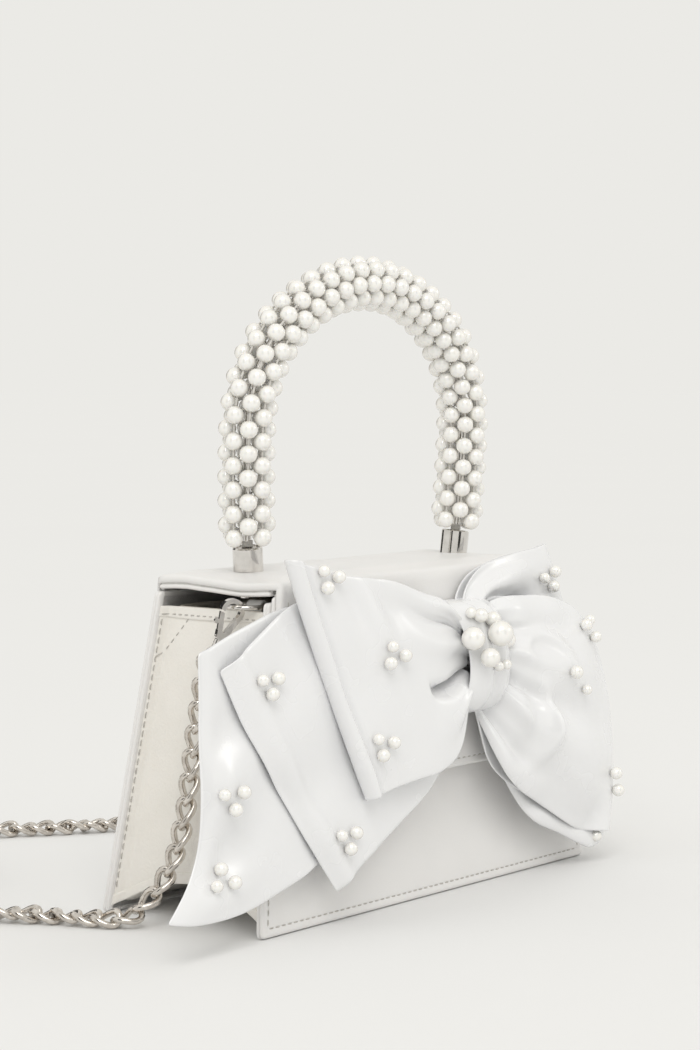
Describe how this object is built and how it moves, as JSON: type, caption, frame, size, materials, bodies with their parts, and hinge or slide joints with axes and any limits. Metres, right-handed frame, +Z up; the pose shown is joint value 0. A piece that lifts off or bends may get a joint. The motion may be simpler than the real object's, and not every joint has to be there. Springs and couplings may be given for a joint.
{
  "type": "flower girl bag",
  "caption": "Small A-frame bridal handbag with rigid lid, satin-bow front flap, pearl-covered arch handle and clip-on chain strap.",
  "frame": {"origin": "on the floor under the middle of the bag's body, midway between the front and back feet", "axes": "+X to the bag's right seen from the front, +Y to the back, the flap and bow face -Y, +Z up"},
  "size_m": [0.2837, 0.2716, 0.2359],
  "materials": {
    "white_leather": "smooth satin",
    "cream_leather": "fine vertical grain",
    "stiff_board": "raw board",
    "lining_cloth": "plain weave",
    "nickel": "polished nickel",
    "chain": "polished nickel",
    "edge_paint": "painted edge",
    "pearl": "pearl lustre",
    "satin": "duchess satin"
  },
  "bodies": {
    "bag": {"front_panel": "white_leather", "front_board": "stiff_board", "front_edge_binding": "white_leather", "back_panel": "white_leather", "back_board": "stiff_board", "back_edge_binding": "white_leather", "gusset_left": "cream_leather", "gusset_right": "cream_leather", "base_panel": "cream_leather", "bag_lining": "lining_cloth", "inner_pocket": "lining_cloth", "snap_socket": "nickel", "ring_tab_left": "white_leather", "ring_tab_right": "white_leather", "d_ring_left": "nickel", "d_ring_right": "nickel", "clasp_swivel_left": "nickel", "clasp_swivel_right": "nickel", "chain_strand_left": "chain", "chain_coil": "chain", "chain_strand_right": "chain"},
    "lid": {"lid_leather": "white_leather", "lid_board": "stiff_board", "lid_lining": "lining_cloth", "lid_edge_strips": "edge_paint", "ferrule_left": "nickel", "ferrule_right": "nickel", "handle_washers": "nickel", "handle_screws": "nickel", "handle_core": "nickel", "handle_pearls": "pearl"},
    "flap": {"flap_leather": "white_leather", "flap_board": "stiff_board", "flap_lining": "lining_cloth", "flap_edge_strips": "edge_paint", "snap_stud": "nickel", "bow_tail_long": "satin", "bow_tail_short": "satin", "bow_loop_left": "satin", "bow_loop_back": "satin", "bow_under_ply": "satin", "bow_loop_front": "satin", "bow_knot": "satin", "knot_pearls": "pearl", "pearls_loop_left": "pearl", "pearls_tail_short": "pearl", "pearls_tail_long": "pearl", "pearls_loop_back": "pearl", "pearls_loop_front": "pearl"},
    "clasp_left": {"clasp_frame_left": "nickel", "clasp_pin_left": "nickel"},
    "lever_left": {"clasp_lever_left": "nickel"},
    "clasp_right": {"clasp_frame_right": "nickel", "clasp_pin_right": "nickel"},
    "lever_right": {"clasp_lever_right": "nickel"}
  },
  "joints": [
    {"name": "lid_hinge", "type": "hinge", "parent": "bag", "child": "lid", "pos_m": [0, 0.029, 0.12], "axis": [-1, 0, 0], "range_deg": [0, 100]},
    {"name": "flap_crease", "type": "hinge", "parent": "lid", "child": "flap", "pos_m": [0, -0.029, 0.12], "axis": [-1, 0, 0], "range_deg": [0, 75]},
    {"name": "clasp_swivel_left", "type": "hinge", "parent": "bag", "child": "clasp_left", "pos_m": [-0.0822, -0.01, 0.1107], "axis": [0.3509, -0.2506, 0.9023], "range_deg": [-8, 8]},
    {"name": "clasp_lever_left", "type": "hinge", "parent": "clasp_left", "child": "lever_left", "pos_m": [-0.08676, -0.00699, 0.10156], "axis": [0.421, 0.9029, 0.0871], "range_deg": [0, 18], "stiffness_Nm_per_rad": 0.01, "springref_deg": -8.59},
    {"name": "clasp_swivel_right", "type": "hinge", "parent": "bag", "child": "clasp_right", "pos_m": [0.0822, -0.01, 0.1107], "axis": [0.3509, 0.2506, -0.9023], "range_deg": [-8, 8]},
    {"name": "clasp_lever_right", "type": "hinge", "parent": "clasp_right", "child": "lever_right", "pos_m": [0.08676, -0.00699, 0.10156], "axis": [0.421, -0.9029, -0.0871], "range_deg": [0, 18], "stiffness_Nm_per_rad": 0.01, "springref_deg": -8.59}
  ]
}
